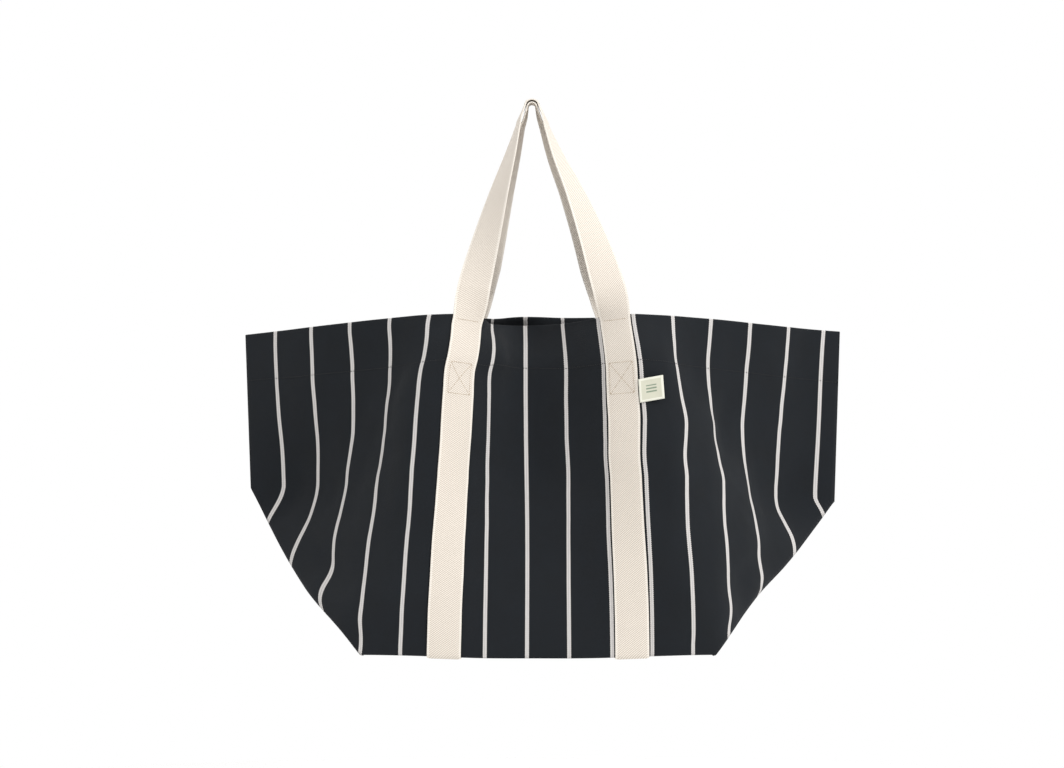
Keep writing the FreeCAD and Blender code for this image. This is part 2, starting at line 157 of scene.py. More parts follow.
# %% [markdown]
# ## A grid on the flat pattern
# The cloth is a grid of points, 3.75 mm apart. The step is chosen so that the crease, which runs
# diagonally from the base corner to the knee of the side seam, passes through grid points. A fold then
# follows edges of the mesh and stays sharp, where a fold across the faces would look like a saw.

# %% Columns and rows of the grid
FOLD_STEPS = 52
US = np.linspace(-SEAM_U, SEAM_U, 2 * round(SEAM_U / (HALF_DEPTH / FOLD_STEPS)) + 1)
MIDDLE = len(US) // 2
CORNER = MIDDLE - FOLD_STEPS                        # columns from the middle to the base corner
KNEE_ROW = 47
VS = np.concatenate([np.linspace(0, KNEE_V, KNEE_ROW, endpoint=False),
                     np.linspace(KNEE_V, HEIGHT, FOLD_STEPS + 1)])
BASE_SHARE = np.linspace(0, 1, 48)[1:]              # rows of the base, from the bottom edge to the fold
OUTWARD = np.clip((np.abs(US) - HALF_LENGTH) / HALF_DEPTH, 0, 1)
INNER = np.abs(US) < HALF_LENGTH + 1e-6
MIRROR = np.array([1, -1, 1])                       # from the front to the back
ON_SEAM = np.array([1, 0, 1])                       # onto the plane where front and back meet
print(len(US), "columns,", len(VS), "rows, fold step", round(1000 * HALF_DEPTH / FOLD_STEPS, 2), "mm")

# %% [markdown]
# ## Soft unevenness
# Washed canvas is never smooth: it carries slow swells from how it hangs and small crumples from use.
# Both come from smooth noise that is read at the pattern's own places, so they are the same on every
# run. They fade out at the side seams, where the front and the back are sewn together.

# %% Swells and crumples
def unevenness(seed):
    """Forward and back movement of the canvas, in metres, on the grid of the face."""
    out = np.zeros((len(VS), len(US)))
    for i, v in enumerate(VS):
        for j, u in enumerate(US):
            slow = noise.noise(Vector((u * 13, v * 7, seed)))
            crumple = noise.noise(Vector((u * 34 + v * 9, v * 21, seed + 5)))
            fine = noise.noise(Vector((u * 85, v * 60 - u * 30, seed + 9)))
            out[i, j] = 0.0024 * slow + 0.0011 * crumple + 0.0003 * fine
    fade = np.clip((SEAM_U - np.abs(US)) / 0.05, 0, 1)
    return out * fade * np.clip((HEIGHT - VS) / 0.03, 0, 1)[:, None]


front_uneven = unevenness(1.0)
back_uneven = unevenness(31.0)
print("unevenness up to", round(1000 * float(np.abs(front_uneven).max()), 2), "mm")

# %% [markdown]
# ## From the flat pattern to the hanging face
# The height of a place comes from walking down its column, and x from walking out along its row. Each
# step keeps the length it has in the flat cloth, so what the depth uses up is missing from the width.
# The lower corners lie beyond the crease. They are folded in and run to the end of the base's ridge.

# %% Where the edges of a face run
SEAM_HALF = 0.0009                                  # the two faces meet with this much each side of y = 0
TUCK_HALF = 0.0003                                  # and the tucks' ends with this much
KNEE_Z = (-0.468, -0.485)                           # left and right knee
KNEE_HALF = (0.354, 0.361)
RIM_HALF = 0.364
MIDDLE_AT = ((0, 196, 412), (0.013, 0.0095, 0.006))  # x of the middle, rim to bottom edge
CREASE_X = {                                        # share of the way from foot to knee, and x there
    -1: ((0, 0.14, 0.40, 0.745, 1), (-0.1997, -0.223, -0.2727, -0.3174, -0.3448)),
    1: ((0, 0.375, 0.58, 0.845, 1), (0.2139, 0.269, 0.307, 0.3487, 0.370)),
}
NUDGE_PLACES = (-405, -364, -314, -264, -214, -164, -113, -64, -14,
                36, 86, 136, 186, 236, 286, 336, 386, 405)
NUDGES = {                                          # how the cloth is pulled sideways, in mm
    0: (0, 0, 0, 1, 1, 1, -1, -9, -7, -6, -5, -7, -7, -5, -2, 0, -2, 0),
    30: (0, 0, 0, 1, 1, 2, 0, -11, -6, -5, -4, -6, -6, -5, -2, 0, -3, 0),
    125: (0, 0, 0, 0, 0, 2, 1, -4, -4, -4, -4, -4, -3, -5, -5, -4, -4, 0),
    185: (0, -1, -2, -4, 0, 2, 1, -2, -2, -2, -5, -7, -10, -6, -5, -5, -5, 0),
    255: (0, -1, -1, -1, 5, 4, 2, 1, 0, -2, -5, -7, -12, -12, -9, -3, 0, 0),
    315: (0, 0, 0, 4, 5, 4, 3, 2, 1, -1, -2, -5, -8, -9, -9, 0, 0, 0),
    412: (0, 0, 0, 3, 3, 2, 3, 2, 2, 2, 3, 0, -1, -1, 0, 0, 0, 0),
}
CREASE_REACH = 0.055                                # cloth this near to a crease moves with it
print("creases and pulls on", len(CREASE_X) + len(NUDGES), "lines")


# %% Shape of one face
def running_sum(values, at, axis):
    """Length walked along an axis of a grid, from its start."""
    values = np.moveaxis(values, axis, 0)
    step = np.diff(at).reshape((-1,) + (1,) * (values.ndim - 1))
    total = np.concatenate([np.zeros_like(values[:1]), np.cumsum((values[1:] + values[:-1]) / 2 * step, 0)])
    return np.moveaxis(total, 0, axis)


def from_table(places, table):
    """A table of millimetres, read smoothly at every point of the grid, in metres."""
    rows = np.array(list(table.values()), float)
    across = smooth_through(places, rows.T, US * 1000).T
    return smooth_through(list(table), across, VS * 1000) / 1000


def hang(depth, drops):
    """Places in space of the face's grid, with the outside towards -Y."""
    right = (US > 0).astype(int)
    top = RIM_Z - smooth_through(PLACES, np.array(drops, float), US * 1000) / 1000
    crease_v = HEIGHT - OUTWARD * (HEIGHT - KNEE_V)
    sag = 0.001 + 0.005 * np.clip(np.cos(US * 7.2), 0, 1) ** 2
    foot_z = FOOT_Z - sag * (1 - OUTWARD)
    crease_z = foot_z + OUTWARD * (np.array(KNEE_Z)[right] - foot_z)
    fall = running_sum(np.sqrt(np.clip(1 - np.gradient(depth, VS, axis=0) ** 2, 0.2, 1)), VS, 0)
    at_crease = np.array([np.interp(crease_v[j], VS, fall[:, j]) for j in range(len(US))])
    z = top + (crease_z - top) * fall / at_crease
    step = 1 - np.gradient(depth, US, axis=1) ** 2 - np.gradient(z, US, axis=1) ** 2
    x = running_sum(np.sqrt(np.clip(step, 0.08, 1)), US, 1)
    x = x - x[:, MIDDLE:MIDDLE + 1]
    knee = np.array(KNEE_HALF)
    for side, edge in ((0, 0), (1, -1)):
        half = np.interp(VS, (0, KNEE_V), (RIM_HALF, knee[side]))
        stretch = half / np.abs(x[:, edge])
        low = VS > KNEE_V
        stretch[low] = stretch[KNEE_ROW] + (1 - stretch[KNEE_ROW]) * (VS[low] - KNEE_V) / (HEIGHT - KNEE_V)
        x[:, right == side] *= stretch[:, None]
    x += np.interp(VS * 1000, *MIDDLE_AT)[:, None]
    x += from_table(NUDGE_PLACES, NUDGES)
    for side, (shares, places) in CREASE_X.items():
        for row in range(KNEE_ROW + 1, len(VS)):
            up = (HEIGHT - VS[row]) / (HEIGHT - KNEE_V)
            fold = MIDDLE + side * (CORNER + len(VS) - 1 - row)
            miss = float(smooth_through(shares, places, np.array([up]))[0]) - x[row, fold]
            near = np.clip(1 - (abs(US[fold]) - side * US) / CREASE_REACH, 0, 1)
            x[row] += miss * near * near * (3 - 2 * near)
    return np.stack([x, -(depth + SEAM_HALF), z], axis=2)


face_start = hang(from_table(PLACES, DEPTHS) + front_uneven, RIM_DROPS)
print("rim from x", np.round(face_start[0, [0, -1], 0], 3), "foot from x",
      np.round(face_start[-1, [MIDDLE - CORNER, MIDDLE + CORNER], 0], 3))

# %% [markdown]
# ## Webbing, corners and base
# Stiff webbing holds the canvas straight across where it is sewn on. Beyond the crease the corner of the
# cloth is folded in, so each place there lies on a straight line from the crease to the ridge's end.
# The base rises to that ridge in low waves, since it is gathered a little.

# %% Webbing holds the canvas flat, and the corners are tucked in
HELD_HALF = WEB_WIDTH / 2 + 0.0025


def flatten_under_webbing(face):
    """Between a strap's edges the canvas lies straight across."""
    for centre in STRAP_U.values():
        a, b = (int(np.argmin(np.abs(US - centre - d))) for d in (-HELD_HALF, HELD_HALF))
        share = ((US[a:b + 1] - US[a]) / (US[b] - US[a]))[None, :, None]
        face[:, a:b + 1] = face[:, a:a + 1] * (1 - share) + face[:, b:b + 1] * share
    return face


def tuck_corners(face):
    """The corner beyond the crease runs from the crease to the end of the ridge."""
    out = face.copy()
    for side in (-1, 1):
        end = np.array([MIDDLE_X + side * RIDGE_HALF, -TUCK_HALF, RIDGE_Z])
        corner = MIDDLE + side * CORNER
        crease = np.array([face[len(VS) - 1 - k, corner + side * k] for k in range(FOLD_STEPS + 1)])
        for i in range(FOLD_STEPS + 1):
            for k in range(FOLD_STEPS + 1):
                a, b = k / FOLD_STEPS, i / FOLD_STEPS
                reach = 2 - a - b
                if reach >= 1:
                    continue
                if reach < 1e-9:
                    out[KNEE_ROW + i, corner + side * k] = end
                    continue
                at = (1 + (a - 1) / reach) * FOLD_STEPS
                low = min(int(at), FOLD_STEPS - 1)
                fold = crease[low] + (crease[low + 1] - crease[low]) * (at - low)
                out[KNEE_ROW + i, corner + side * k] = end + (fold - end) * reach
    return out


# %% The base and its soft edge
def rise_to_ridge(foot):
    """The base's half, from the bottom edge up to the ridge, gathered into low waves."""
    u = US[INNER]
    fade = np.clip((HALF_LENGTH - np.abs(u)) / 0.05, 0, 1)
    ridge = np.stack([MIDDLE_X + u * RIDGE_HALF / HALF_LENGTH, np.full_like(u, -0.0002),
                      RIDGE_Z + 0.008 * np.cos(u * 52) * fade], 1)
    share = BASE_SHARE[:, None, None]
    rows = foot[None] * (1 - share) + ridge[None] * share
    bulge = 0.005 * np.sin(math.pi * share[:, :, 0]) * np.sin(u * 31 + 1.0)
    rows[:, :, 2] += bulge * fade
    return rows


def round_bottom_edge(face, base):
    """The bottom edge is a soft fold, not a knife edge."""
    column = np.concatenate([face[:, INNER], base])
    foot = len(VS) - 1
    for _ in range(4):
        part = column[foot - 4:foot + 5].copy()
        column[foot - 3:foot + 4] = (part[:-2] + 2 * part[1:-1] + part[2:])[0:7] / 4
    out = face.copy()
    out[:, INNER] = column[:len(VS)]
    return out, column[len(VS):]


def whole_face(uneven, drops):
    """Outside of one length of cloth: the face's rows, and the rows of its half of the base."""
    face = hang(from_table(PLACES, DEPTHS) + uneven, drops)
    face = tuck_corners(flatten_under_webbing(face))
    return round_bottom_edge(face, rise_to_ridge(face[-1, INNER]))


front_face, front_base = whole_face(front_uneven, RIM_DROPS)
BACK_DROPS = (24, 20, 15, 10, 5, 1, 0, 2, 3, 1, 2, 1, 0, 1, 4, 8, 13, 17, 20)
back_face, back_base = whole_face(back_uneven, BACK_DROPS)
print("front face", front_face.shape, "base half", front_base.shape)

# %% [markdown]
# ## The hem
# The rim is a 60 mm hem: the canvas turns over at the top and runs down again on the inside. A small
# round turn is modelled too, because the rim is seen against the light and a thin bare edge would look
# like paper.

# %% Turned-in hem rows
HEM_GAP = 0.0027             # from the outside of the face to the outside of the turned-in layer
HEM_ROWS = 13


def outward_normals(points):
    """Unit normals of a grid whose rows go down and whose columns go right, outside towards -Y."""
    along = np.gradient(points, axis=1)
    down = np.gradient(points, axis=0)
    normal = np.cross(down, along)
    return normal / np.linalg.norm(normal, axis=2, keepdims=True)


def hem_rows(face):
    """Rows from the hem's inner edge up to the rim, and how far down the pattern each lies."""
    normal = outward_normals(face)
    rows, downs = [], []
    for down in np.linspace(HEM, 0.0035, HEM_ROWS):
        at = np.interp(down, VS, np.arange(len(VS)))
        low, share = int(at), at - int(at)
        place = face[low] * (1 - share) + face[low + 1] * share
        rows.append(place - HEM_GAP * normal[low])
        downs.append(-down)
    for turn in (150, 110, 70, 30):
        angle = math.radians(turn)
        side = HEM_GAP / 2 * (1 - math.cos(angle))
        rows.append(face[0] - normal[0] * side + np.array([0, 0, HEM_GAP / 2 * math.sin(angle)]))
        downs.append(-0.003 * turn / 180)
    return np.array(rows), np.array(downs)


front_hem, hem_downs = hem_rows(front_face)
back_hem, _ = hem_rows(back_face)
print("hem rows", front_hem.shape[0])

# %% [markdown]
# ## Making the cloth
# Hem, face and base half are one length of canvas, so they become one mesh. Each corner of a face keeps
# its flat place as UV in metres, which lets the stripes follow the weave through every fold. A number
# called `follow` says how much a place moves with the front when the mouth is pulled open: all of it
# between the straps, none of it at the side seams or at the ridge of the base.

# %% Which places move with the front
def follow_share():
    """For face and base rows: 1 moves with the front, 0 stays with the base."""
    face = np.tile(1 - OUTWARD, (len(VS), 1))
    for side in (-1, 1):
        corner = MIDDLE + side * CORNER
        for i in range(FOLD_STEPS + 1):
            for k in range(FOLD_STEPS + 1):
                reach = 2 - (i + k) / FOLD_STEPS
                if 1e-9 < reach < 1:
                    out = 1 + (k / FOLD_STEPS - 1) / reach
                    face[KNEE_ROW + i, corner + side * k] = (1 - out) * reach
                elif reach <= 1e-9:
                    face[KNEE_ROW + i, corner + side * k] = 0
    base = np.tile((1 - BASE_SHARE)[:, None], (1, int(INNER.sum())))
    return face, base


# %% Small helpers for objects
def deselect():
    bpy.ops.object.select_all(action="DESELECT")


def work_on(obj):
    """Only this object is selected and active, so that operators act on nothing else."""
    deselect()
    obj.select_set(True)
    bpy.context.view_layer.objects.active = obj


def in_edit_mode(obj, operator, **settings):
    """One operator on the whole mesh, as by hand in edit mode."""
    work_on(obj)
    bpy.ops.object.mode_set(mode="EDIT")
    bpy.ops.mesh.select_all(action="SELECT")
    operator(**settings)
    bpy.ops.object.mode_set(mode="OBJECT")


def new_mesh_object(name, points, faces, uvs=None, follow=None):
    mesh = bpy.data.meshes.new(name)
    mesh.from_pydata([tuple(map(float, p)) for p in points], [], faces)
    obj = bpy.data.objects.new(name, mesh)
    bpy.context.collection.objects.link(obj)
    if uvs is not None:
        layer = mesh.uv_layers.new(name="Pattern")
        index = np.empty(len(mesh.loops), int)
        mesh.loops.foreach_get("vertex_index", index)
        layer.data.foreach_set("uv", np.asarray(uvs, np.float32)[index].ravel())
    if follow is not None:
        store = mesh.attributes.new("follow", "FLOAT", "POINT")
        store.data.foreach_set("value", np.asarray(follow, np.float32).ravel())
    mesh.shade_smooth()
    return obj


def use_modifier(obj, kind, **settings):
    work_on(obj)
    modifier = obj.modifiers.new(kind.title(), kind)
    for key, value in settings.items():
        setattr(modifier, key, value)
    bpy.ops.object.modifier_apply(modifier=modifier.name)


print("helpers ready")


# %% Mesh of one length of canvas
def cut_crease_faces(quads, wide, rows):
    """The faces that the crease crosses are cut along it."""
    for hand in (-1, 1):
        corner = MIDDLE + hand * CORNER
        for k in range(FOLD_STEPS):
            column = corner + k if hand > 0 else corner - k - 1
            at = (rows - 2 - k) * (wide - 1) + column
            a, b, c, d = quads[at]
            quads[at] = (a, b, d) if hand > 0 else (a, b, c)
            quads.append((b, c, d) if hand > 0 else (a, c, d))


def canvas_piece(name, hem, face, base, side):
    """The cloth of the front (side -1) or of the back (side 1)."""
    face_follow, base_follow = follow_share()
    points = [np.vstack(hem), face.reshape(-1, 3), base.reshape(-1, 3)]
    follow = [np.tile(1 - OUTWARD, len(hem_downs)), face_follow.ravel(), base_follow.ravel()]
    base_us = US[INNER]
    uvs = [np.stack(np.meshgrid(US, downs), 2).reshape(-1, 2) for downs in (hem_downs, VS)]
    uvs.append(np.stack(np.meshgrid(base_us, HEIGHT + BASE_SHARE * HALF_DEPTH), 2).reshape(-1, 2))
    wide, rows = len(US), len(hem_downs) + len(VS)
    quads = [(r * wide + c, (r + 1) * wide + c, (r + 1) * wide + c + 1, r * wide + c + 1)
             for r in range(rows - 1) for c in range(wide - 1)]
    cut_crease_faces(quads, wide, rows)
    first, narrow = rows * wide, len(base_us)
    bottom_edge = (rows - 1) * wide + int(np.argmax(INNER))
    for r in range(len(BASE_SHARE)):
        above = bottom_edge if r == 0 else first + (r - 1) * narrow
        below = first + r * narrow
        quads += [(above + c, below + c, below + c + 1, above + c + 1) for c in range(narrow - 1)]
    points = np.vstack(points)
    if side > 0:
        points = points * MIRROR
        quads = [q[::-1] for q in quads]
    piece = new_mesh_object(name, points, quads, np.vstack(uvs), np.concatenate(follow))
    use_modifier(piece, "SOLIDIFY", thickness=CANVAS, offset=-1.0, use_rim=True)
    piece.data.shade_smooth()
    print(name, len(piece.data.polygons), "faces")
    return piece


front_cloth = canvas_piece("front_cloth", front_hem, front_face, front_base, -1)
back_cloth = canvas_piece("back_cloth", back_hem, back_face, back_base, 1)

# %% [markdown]
# ## Webbing
# Two lengths of cotton webbing run under the bag and up both faces. Above the rim each pair of ends is
# one loop, the handle. A strap is a flat band with rounded edges, so it is swept: two lines give its
# edges and a third direction gives its outside. Sweeping keeps its width the same everywhere, even where
# the handle turns by a quarter on its way to the hook.

# %% Finding a place on the front face
def on_cloth(u, v):
    """A place on the front's outside, from its flat place. The rows go on under the base."""
    column = np.interp(u, US, np.arange(len(US)))
    low = min(int(column), len(US) - 2)
    share = column - low
    if v <= HEIGHT:
        strip = front_face[:, low:low + 2]
        row = float(np.interp(v, VS, np.arange(len(VS))))
    else:
        start = low - int(np.argmax(INNER))
        strip = np.concatenate([front_face[-1:, low:low + 2], front_base[:, start:start + 2]])
        row = (v - HEIGHT) / HALF_DEPTH * len(BASE_SHARE)
    line = strip[:, 0] * (1 - share) + strip[:, 1] * share
    above = min(int(row), len(line) - 2)
    return line[above] + (line[above + 1] - line[above]) * (row - above)


def band_frame(v, centre):
    """Both edges of a strap at one height, and which way its outside faces."""
    step = 0.004
    edges = [on_cloth(centre - WEB_WIDTH / 2, v), on_cloth(centre + WEB_WIDTH / 2, v)]
    middle, across = (edges[0] + edges[1]) / 2, edges[1] - edges[0]
    reach = across / np.linalg.norm(across) * WEB_WIDTH / 2
    edges = [middle - reach, middle + reach]
    down = on_cloth(centre, min(v + step, HEIGHT + HALF_DEPTH)) - on_cloth(centre, max(v - step, 0))
    outside = np.cross(down, edges[1] - edges[0])
    return edges[0], edges[1], outside / np.linalg.norm(outside)


# %% Sweeping a band
SECTION = 9                  # points across each side of the band
EDGE_THIN = 0.55             # the selvedges are thinner than the middle


def band(name, edges_a, edges_b, outsides, follow=None):
    """A webbing band swept through pairs of edge places. Its first edge is UV 0, its length is UV y."""
    a, b, out = (np.array(x, float) for x in (edges_a, edges_b, outsides))
    middle = (a + b) / 2
    length = np.concatenate([[0], np.cumsum(np.linalg.norm(np.diff(middle, axis=0), axis=1))])
    shares = np.linspace(0, 1, SECTION)
    thick = WEB * np.where((shares < 0.06) | (shares > 0.94), EDGE_THIN, 1.0)
    ring, ring_uv = [], []
    for layer, order in ((1, range(SECTION)), (0, range(SECTION - 1, -1, -1))):
        for k in order:
            lift = (WEB + thick[k]) / 2 if layer else (WEB - thick[k]) / 2
            ring.append(a * (1 - shares[k]) + b * shares[k] + out * lift)
            ring_uv.append(shares[k] * WEB_WIDTH)
    count, turns = len(ring), len(a)
    points = np.stack(ring, 1).reshape(-1, 3)
    uvs = np.array([(u, d) for d in length for u in ring_uv])
    quads = [(r * count + k, r * count + (k + 1) % count,
              (r + 1) * count + (k + 1) % count, (r + 1) * count + k)
             for r in range(turns - 1) for k in range(count)]
    quads += [tuple(range(count))[::-1], tuple((turns - 1) * count + k for k in range(count))]
    spread = None if follow is None else np.repeat(follow, count)
    piece = new_mesh_object(name, points, quads, uvs, spread)
    in_edit_mode(piece, bpy.ops.mesh.normals_make_consistent, inside=False)
    bpy.ops.object.shade_smooth_by_angle(angle=math.radians(50))
    print(name, "length", round(float(length[-1]), 3), "m")
    return piece


# %% Straps from the hem line to the ridge of the base
WEB_GAP = 0.0004             # air between cloth and webbing
STRAP_ROWS = np.concatenate([np.linspace(HEM, HEIGHT - 0.02, 90),
                             np.linspace(HEIGHT - 0.016, HEIGHT + 0.016, 11),
                             np.linspace(HEIGHT + 0.02, HEIGHT + HALF_DEPTH - 0.002, 44)])
straps = {}
for where, side in (("front", 1), ("back", -1)):
    for hand, centre in STRAP_U.items():
        frames = [band_frame(v, centre) for v in STRAP_ROWS]
        turn = np.array([1, side, 1])
        a, b, out = (np.array([f[k] for f in frames]) for k in range(3))
        a, b = ((edge + out * WEB_GAP) * turn for edge in (a, b))
        share = np.clip(1 - (STRAP_ROWS - HEIGHT) / HALF_DEPTH, 0, 1)
        straps[where, hand] = band(f"{where}_strap_{hand}_web", a, b, out * turn, share)

# %% [markdown]
# ## The handles
# Each handle leaves the rim as wide as the strap, leans in towards the hook and turns until it lies flat
# across it. The back handle is a little narrower at the top and lies against the hook, and the front one
# lies over it.

# %% Path of a handle from the rim to the hook
RIM_BELOW = 0.258            # rim below the hook
RIM_REACH = 0.098            # rim in front of the hook
START_DROP = 0.226           # the leg is free from here up
BEND_DROP = 0.030            # and starts to close on the hook here
TOP_DROP = 0.016
LEG_RIGHT = ((RIM_BELOW, 0.228, 0.170, 0.113, 0.064, BEND_DROP),
             (0.102, 0.093, 0.0754, 0.054, 0.032, 0.019))
LEG_LEFT = ((RIM_BELOW, 0.228, 0.170, 0.109, 0.061, BEND_DROP),
            (-0.0758, -0.070, -0.0557, -0.0398, -0.026, -0.0178))
LEG_TURN = (-27, 117)        # degrees at the rim, and added on the way up


def leg(hand, radius, slim):
    """Centre and width direction of one leg, from above the rim up to the bend over the hook."""
    drops, xs = LEG_RIGHT if hand > 0 else LEG_LEFT
    rows = []
    for drop in np.linspace(START_DROP, TOP_DROP, 60):
        s = (RIM_BELOW - drop) / RIM_BELOW
        if drop > BEND_DROP:
            x = float(smooth_through(drops[::-1], xs[::-1], np.array([drop]))[0])
        else:
            x = xs[-1] + (hand * radius - xs[-1]) * ((BEND_DROP - drop) / BEND_DROP * 0.82)
        x -= hand * slim * min(1, (RIM_BELOW - drop) / 0.06)
        y = -RIM_REACH * (drop / RIM_BELOW)
        turn = math.radians(LEG_TURN[0] + LEG_TURN[1] * s ** (0.75 if hand > 0 else 0.65))
        width = np.array([hand * math.cos(turn), math.sin(turn), 0])
        rows.append((np.array([x, y, -drop]), width))
    return rows


def handle_path(radius, top, slim):
    """Centre and width direction all the way round, from the left rim to the right rim."""
    bend = []
    for angle in np.linspace(math.radians(168), math.radians(12), 17):
        bend.append((np.array([radius * math.cos(angle), 0, top - radius + radius * math.sin(angle)]),
                     np.array([0, 1.0, 0])))
    return leg(-1, radius, slim) + bend + leg(1, radius, slim)[::-1]


print("free part of a handle has", len(handle_path(0.0078, 0.0052, 0.0)), "places")


# %% Handles, sewn at both ends
SEWN_ROWS = 20
KEPT = 17                    # of these, rows that keep their own places


def handle_band(name, side, radius, top, slim):
    """One handle, on the front (side 1) or the back (side -1), from hem to hem."""
    centres, widths = (np.array(part) for part in zip(*handle_path(radius, top, slim)))
    tangent = np.gradient(centres, axis=0)
    tangent /= np.linalg.norm(tangent, axis=1, keepdims=True)
    widths = widths - tangent * np.sum(widths * tangent, 1, keepdims=True)
    widths /= np.linalg.norm(widths, axis=1, keepdims=True)
    near, far = centres - widths * WEB_WIDTH / 2, centres + widths * WEB_WIDTH / 2
    sewn = []
    for hand, centre in ((-1, STRAP_U["left"]), (1, STRAP_U["right"])):
        rows = []
        for v in np.linspace(HEM, 0.004, SEWN_ROWS):
            a, b, out = band_frame(v, centre)
            a, b = a + out * WEB_GAP, b + out * WEB_GAP
            rows.append((a, b) if hand > 0 else (b, a))
        sewn.append(rows)
    inner = np.array([r[0] for r in sewn[0]] + list(near) + [r[0] for r in sewn[1][::-1]])
    outer = np.array([r[1] for r in sewn[0]] + list(far) + [r[1] for r in sewn[1][::-1]])
    middle = (inner + outer) / 2
    walked = np.concatenate([[0], np.cumsum(np.linalg.norm(np.diff(middle, axis=0), axis=1))])
    even = np.linspace(0, walked[-1], int(walked[-1] / 0.0035))
    fine = np.unique(np.concatenate([even, walked[KEPT:-KEPT]]))
    fine = fine[np.concatenate([[True], np.diff(fine) > 0.0008])]
    inner, outer = smooth_through(walked, inner, fine), smooth_through(walked, outer, fine)
    across = outer - inner
    spread = np.linalg.norm(across, axis=1, keepdims=True)
    middle = (inner + outer) / 2
    across = across / spread
    inner, outer = middle - across * WEB_WIDTH / 2, middle + across * WEB_WIDTH / 2
    tangent = np.gradient(middle, axis=0)
    outs = np.cross(tangent, across)
    outs /= np.linalg.norm(outs, axis=1, keepdims=True)
    if outs[len(outs) // 2][2] < 0:
        outs = -outs
    turn = np.array([1, side, 1])
    return band(name, inner * turn, outer * turn, outs * turn)


front_loop = handle_band("front_handle_web", 1, 0.0078, 0.0052, 0.0)
back_loop = handle_band("back_handle_web", -1, 0.0048, 0.0016, 0.005)

# %% [markdown]
# ## Colours and finishes
# The materials are built from numbers on the pattern: `u` and `v` in metres for the cloth, and the
# distance across and along for the webbing. A small class lets shader maths be written like ordinary
# Python, so each weave reads as one expression.

# %% Shader numbers as expressions
class Value:
    """A shader number. Adding, multiplying and so on make the Math nodes."""

    def __init__(self, tree, socket):
        self.tree, self.socket = tree, socket

    def math(self, operation, other=None, third=None):
        node = self.tree.nodes.new("ShaderNodeMath")
        node.operation = operation
        for slot, item in enumerate((self, other, third)):
            if isinstance(item, Value):
                self.tree.links.new(item.socket, node.inputs[slot])
            elif item is not None:
                node.inputs[slot].default_value = item
        return Value(self.tree, node.outputs[0])

    def __add__(self, other):
        return self.math("ADD", other)

    __radd__ = __add__

    def __mul__(self, other):
        return self.math("MULTIPLY", other)

    __rmul__ = __mul__

    def __sub__(self, other):
        return self.math("SUBTRACT", other)

    def __rsub__(self, other):
        return (self * -1.0).math("ADD", other)

    def __truediv__(self, other):
        return self.math("DIVIDE", other)

    def wave(self, pitch):
        """Goes 0, 1, 0 over each pitch."""
        return (self * (2 * math.pi / pitch)).math("COSINE") * -0.5 + 0.5

    def within(self, low, high, soft):
        """1 between two values, with soft edges."""
        up = (self - low) / soft + 0.5
        down = (high - self) / soft + 0.5
        return up.math("MINIMUM", down).math("MAXIMUM", 0.0).math("MINIMUM", 1.0)


print("shader numbers ready")

# %% [markdown]
# ## Materials under construction
# A finish keeps a material, its node tree and its shader together, so that a weave can be described in a
# few lines. Every node but the Math nodes comes from one method.


# %% A finish
class Finish:
    """A material under construction."""

    def __init__(self, name, rough=0.85, sheen=0.0):
        self.material = bpy.data.materials.new(name)
        self.material.use_nodes = True
        self.tree = self.material.node_tree
        self.shader = self.tree.nodes["Principled BSDF"]
        self.shader.inputs["Roughness"].default_value = rough
        self.shader.inputs["Sheen Weight"].default_value = sheen
        self.shader.inputs["Sheen Roughness"].default_value = 0.6
        self.shader.inputs["Specular IOR Level"].default_value = 0.25

    def node(self, kind, settings=None, **inputs):
        """A node of any type: its settings, then its sockets by name or, as i0 and so on, by number."""
        node = self.tree.nodes.new(kind)
        for key, value in (settings or {}).items():
            setattr(node, key, value)
        for key, value in inputs.items():
            socket = node.inputs[int(key[1:]) if key[1:].isdigit() else key]
            if isinstance(value, (Value, bpy.types.NodeSocket)):
                self.tree.links.new(getattr(value, "socket", value), socket)
            else:
                socket.default_value = value
        return node

    def pattern(self):
        """Both flat directions of the piece, in metres."""
        uv = self.node("ShaderNodeUVMap", {"uv_map": "Pattern"})
        parts = self.node("ShaderNodeSeparateXYZ", i0=uv.outputs[0])
        return Value(self.tree, parts.outputs[0]), Value(self.tree, parts.outputs[1])

    def noise(self, size, detail=2.0):
        """Smooth noise with spots of about the given size, in metres."""
        where = self.node("ShaderNodeTexCoord").outputs["Object"]
        found = self.node("ShaderNodeTexNoise", Vector=where, Scale=1.0 / size, Detail=detail)
        return Value(self.tree, found.outputs["Fac"])

    def mix(self, share, first, second):
        """From the first colour to the second one."""
        found = self.node("ShaderNodeMix", {"data_type": "RGBA"}, i0=share, i6=first, i7=second)
        return found.outputs[2]

    def colour(self, socket):
        self.tree.links.new(socket, self.shader.inputs["Base Color"])

    def rough(self, value):
        self.tree.links.new(value.socket, self.shader.inputs["Roughness"])

    def relief(self, height, depth):
        """Height from 0 to 1 becomes bumps of the given depth, in metres."""
        bump = self.node("ShaderNodeBump", Height=height, Distance=depth, Strength=1.0)
        self.tree.links.new(bump.outputs[0], self.shader.inputs["Normal"])


def srgb(red, green, blue):
    """A colour as a screen shows it, from 0 to 255, as the shader wants it."""
    def one(c):
        c = c / 255
        return c / 12.92 if c <= 0.04045 else ((c + 0.055) / 1.055) ** 2.4
    return one(red), one(green), one(blue), 1.0


print("shader helpers ready")

# %% [markdown]
# ## Striped canvas
# The ground is a dark navy twill, a diagonal weave. Each stripe is woven in with two light lanes, so it
# has a faint line down its middle, saw-tooth edges where the warp threads end, and a darker thread on
# either side.

